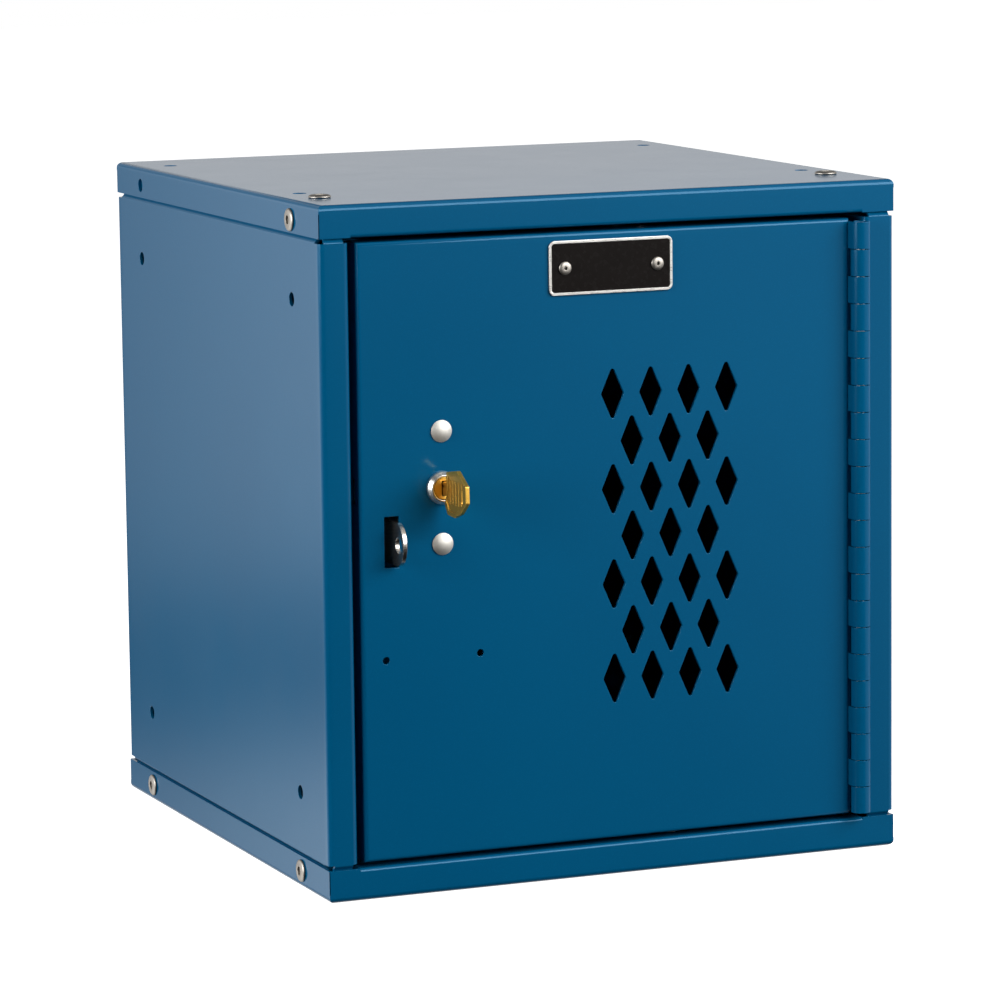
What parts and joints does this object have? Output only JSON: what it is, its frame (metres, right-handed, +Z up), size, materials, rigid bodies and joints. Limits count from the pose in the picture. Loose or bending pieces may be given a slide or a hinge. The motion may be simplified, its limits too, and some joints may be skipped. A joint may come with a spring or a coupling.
{
  "type": "box locker cabinet",
  "caption": "Small folded-steel box locker: flush vented door on a continuous hinge, keyed deadbolt and a padlock eye.",
  "frame": {"origin": "middle of the underside of the base", "axes": "+X to the right seen from the front, -Y out of the door's face, +Z up"},
  "size_m": [0.3082, 0.3396, 0.3397],
  "materials": {
    "blue_paint": "semi-gloss marine blue powder coat",
    "zinc_steel": "zinc plated steel",
    "nickel": "bright nickel plate",
    "brass": "bright yellow brass",
    "black_plate": "satin black with a bare silver border",
    "black_rubber": "matt"
  },
  "bodies": {
    "cabinet": {"back_panel": "blue_paint", "back_rivet_high_left": "zinc_steel", "back_rivet_high_right": "zinc_steel", "back_rivet_low_left": "zinc_steel", "back_rivet_low_right": "zinc_steel", "back_rivet_middle_left": "zinc_steel", "back_rivet_middle_right": "zinc_steel", "base_pan": "blue_paint", "door_bumper_lower": "black_rubber", "door_bumper_upper": "black_rubber", "hasp_rivet_lower": "zinc_steel", "hasp_rivet_upper": "zinc_steel", "hinge_frame_leaf": "blue_paint", "hinge_pin": "zinc_steel", "left_side_panel": "blue_paint", "nut_base_left_back": "zinc_steel", "nut_base_left_front": "zinc_steel", "nut_base_right_back": "zinc_steel", "nut_base_right_front": "zinc_steel", "nut_cap_left_front": "zinc_steel", "nut_cap_right_front": "zinc_steel", "nut_top_left": "zinc_steel", "nut_top_right": "zinc_steel", "padlock_hasp": "zinc_steel", "right_side_panel": "blue_paint", "screw_base_left_back": "zinc_steel", "screw_base_left_front": "zinc_steel", "screw_base_right_back": "zinc_steel", "screw_base_right_front": "zinc_steel", "screw_cap_left_front": "zinc_steel", "screw_cap_right_front": "zinc_steel", "screw_top_left": "zinc_steel", "screw_top_right": "zinc_steel", "top_cap": "blue_paint"},
    "door": {"door_pan": "blue_paint", "nameplate": "black_plate", "nameplate_rivet_left": "zinc_steel", "nameplate_rivet_right": "zinc_steel", "hinge_door_leaf": "blue_paint", "lock_case": "zinc_steel", "lock_cover": "zinc_steel", "lock_bezel": "nickel", "lock_rivet_upper": "nickel", "lock_rivet_lower": "nickel"},
    "lock_plug": {"lock_plug": "brass"},
    "key": {"key": "brass"},
    "bolt": {"lock_bolt": "zinc_steel"}
  },
  "joints": [
    {"name": "door_swing", "type": "hinge", "parent": "cabinet", "child": "door", "pos_m": [0.1319, -0.1563, 0.169], "axis": [0, 0, 1], "range_deg": [0, 175]},
    {"name": "key_turn", "type": "hinge", "parent": "door", "child": "lock_plug", "pos_m": [-0.0914, -0.1524, 0.1994], "axis": [0, 1, 0], "range_deg": [0, 90]},
    {"name": "bolt_throw", "type": "slide", "parent": "door", "child": "bolt", "axis": [-1, 0, 0], "range_m": [0, 0.0116]},
    {"name": "key_pull", "type": "slide", "parent": "lock_plug", "child": "key", "axis": [0, -1, 0], "range_m": [0, 0.022]}
  ],
  "couplings": [
    {"joint": "bolt_throw", "follows": "key_turn", "m_per_rad": 0.00738}
  ]
}
